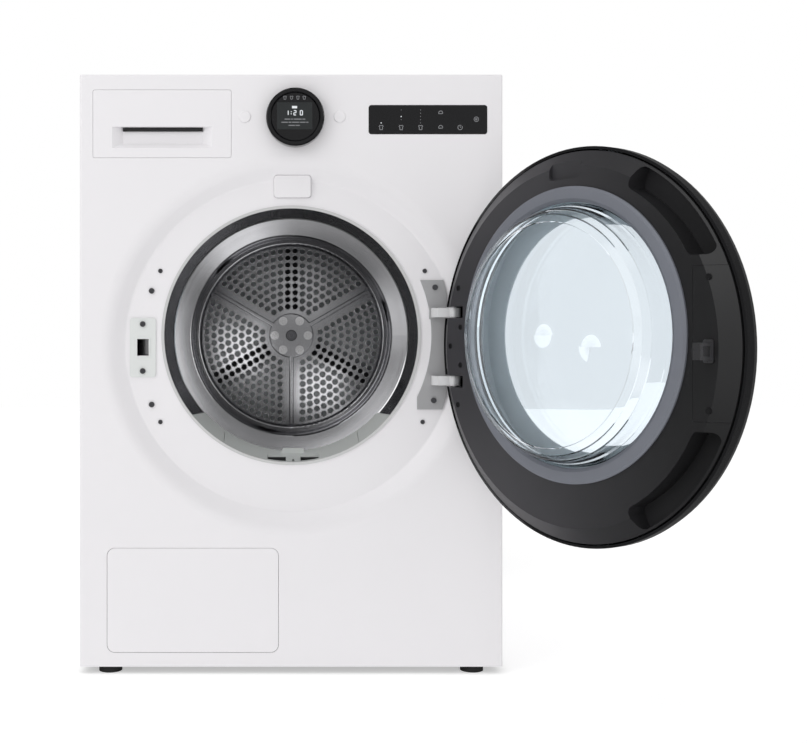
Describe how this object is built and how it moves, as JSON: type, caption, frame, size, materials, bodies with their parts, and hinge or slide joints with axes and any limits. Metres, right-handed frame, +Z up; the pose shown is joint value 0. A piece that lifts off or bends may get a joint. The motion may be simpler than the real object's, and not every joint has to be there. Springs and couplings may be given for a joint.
{
  "type": "clothes dryer",
  "caption": "Front-loading heat-pump clothes dryer with a round glass door on a side hinge, a perforated drum, a lint filter, a water drawer and a dial.",
  "frame": {"origin": "on the floor, midway between the four feet", "axes": "+Z up, +X to the right of someone facing the front, +Y from the front to the back"},
  "size_m": [0.8074, 1.0625, 0.85],
  "materials": {
    "white_enamel": "smooth satin enamel",
    "white_plastic": "satin",
    "light_grey_plastic": "satin",
    "charcoal_plastic": "satin",
    "black_gloss": "gloss",
    "black_plastic": "satin",
    "drum_steel": "bright",
    "zinc_steel": "galvanised",
    "hinge_steel": "satin",
    "screw_steel": "satin",
    "clear_glass": "clear",
    "smoked_window": "tinted",
    "grey_rubber": "matte",
    "black_rubber": "matte",
    "grey_felt": "felt",
    "green_board": "lacquered",
    "copper": "bright",
    "fin_aluminium": "bare",
    "motor_iron": "painted",
    "filter_grey": "satin"
  },
  "bodies": {
    "cabinet": {"base_pan": "black_plastic", "feet": "black_rubber", "side_panel_left": "white_enamel", "side_panel_right": "white_enamel", "front_panel": "white_enamel", "top_plate": "white_enamel", "rear_panel": "zinc_steel", "rear_duct_cover": "zinc_steel", "porthole_bezel": "light_grey_plastic", "front_bulkhead": "drum_steel", "filter_housing": "light_grey_plastic", "felt_seals": "grey_felt", "lamp_cover": "white_plastic", "bearing_housing": "motor_iron", "roller_axles": "screw_steel", "motor_housing": "motor_iron", "blower_housing": "black_plastic", "drum_belt": "black_rubber", "tensioner_arm": "zinc_steel", "compressor": "motor_iron", "exchanger_duct": "black_plastic", "exchanger_coils": "fin_aluminium", "refrigerant_pipes": "copper", "condensate_pump": "black_plastic", "exchanger_cover": "light_grey_plastic", "drawer_bay": "black_plastic", "control_board": "green_board", "touch_panel": "black_gloss", "dial_display": "black_gloss", "cord_gland": "black_plastic", "drain_spigot": "black_plastic", "hinge_bracket": "hinge_steel", "hinge_pins": "screw_steel", "strike_plate": "light_grey_plastic", "cabinet_screws": "screw_steel"},
    "drum": {"drum_shell": "drum_steel", "drum_back": "drum_steel", "drum_lifters": "light_grey_plastic", "drum_shaft": "drum_steel", "shaft_bolts": "screw_steel"},
    "roller_left": {"drum_roller_left": "black_rubber"},
    "roller_right": {"drum_roller_right": "black_rubber"},
    "motor": {"motor_rotor": "screw_steel", "blower_wheel": "black_plastic"},
    "idler": {"belt_idler": "black_plastic"},
    "door": {"door_inner_cover": "charcoal_plastic", "latch_cover": "charcoal_plastic", "door_rim": "black_gloss", "door_window": "smoked_window", "door_bowl": "clear_glass", "door_gasket": "grey_rubber", "door_hook": "hinge_steel", "door_screws": "screw_steel"},
    "dial": {"dial_ring": "black_gloss"},
    "power": {"power_button": "white_plastic"},
    "start": {"start_button": "white_plastic"},
    "drawer": {"drawer_front": "white_plastic", "water_tank": "light_grey_plastic"},
    "filter": {"lint_filter": "light_grey_plastic"},
    "flap": {"condenser_flap": "white_plastic"}
  },
  "joints": [
    {"name": "door_hinge", "type": "hinge", "parent": "cabinet", "child": "door", "pos_m": [0.23, -0.3235, 0.465], "axis": [0, 0, 1], "range_deg": [-123.4, 0]},
    {"name": "drum_spin", "type": "hinge", "parent": "cabinet", "child": "drum", "pos_m": [0, 0, 0.48], "axis": [0, 1, 0], "continuous": true},
    {"name": "roller_left_spin", "type": "hinge", "parent": "cabinet", "child": "roller_left", "pos_m": [-0.19535, -0.2225, 0.22996], "axis": [0, 1, 0], "continuous": true},
    {"name": "roller_right_spin", "type": "hinge", "parent": "cabinet", "child": "roller_right", "pos_m": [0.19535, -0.2225, 0.22996], "axis": [0, 1, 0], "continuous": true},
    {"name": "motor_spin", "type": "hinge", "parent": "cabinet", "child": "motor", "pos_m": [0.17, 0.0275, 0.112], "axis": [0, 1, 0], "continuous": true},
    {"name": "idler_spin", "type": "hinge", "parent": "cabinet", "child": "idler", "pos_m": [0.04882, 0.0275, 0.12481], "axis": [0, 1, 0], "continuous": true},
    {"name": "dial_turn", "type": "hinge", "parent": "cabinet", "child": "dial", "pos_m": [0.0058, -0.3125, 0.7872], "axis": [0, 1, 0], "continuous": true},
    {"name": "power_press", "type": "slide", "parent": "cabinet", "child": "power", "axis": [0, 1, 0], "range_m": [0, 0.0015], "stiffness_N_per_m": 400, "springref_m": -0.0008},
    {"name": "start_press", "type": "slide", "parent": "cabinet", "child": "start", "axis": [0, 1, 0], "range_m": [0, 0.0015], "stiffness_N_per_m": 400, "springref_m": -0.0008},
    {"name": "drawer_slide", "type": "slide", "parent": "cabinet", "child": "drawer", "axis": [0, -1, 0], "range_m": [0, 0.4]},
    {"name": "filter_lift", "type": "slide", "parent": "cabinet", "child": "filter", "axis": [0, 0, 1], "range_m": [0, 0.12]},
    {"name": "flap_pull", "type": "slide", "parent": "cabinet", "child": "flap", "axis": [0, -1, 0], "range_m": [0, 0.06]}
  ],
  "couplings": [
    {"joint": "roller_left_spin", "follows": "drum_spin", "ratio": -7.8056},
    {"joint": "roller_right_spin", "follows": "drum_spin", "ratio": -7.8056},
    {"joint": "motor_spin", "follows": "drum_spin", "ratio": 17.899},
    {"joint": "idler_spin", "follows": "drum_spin", "ratio": -12.973}
  ]
}
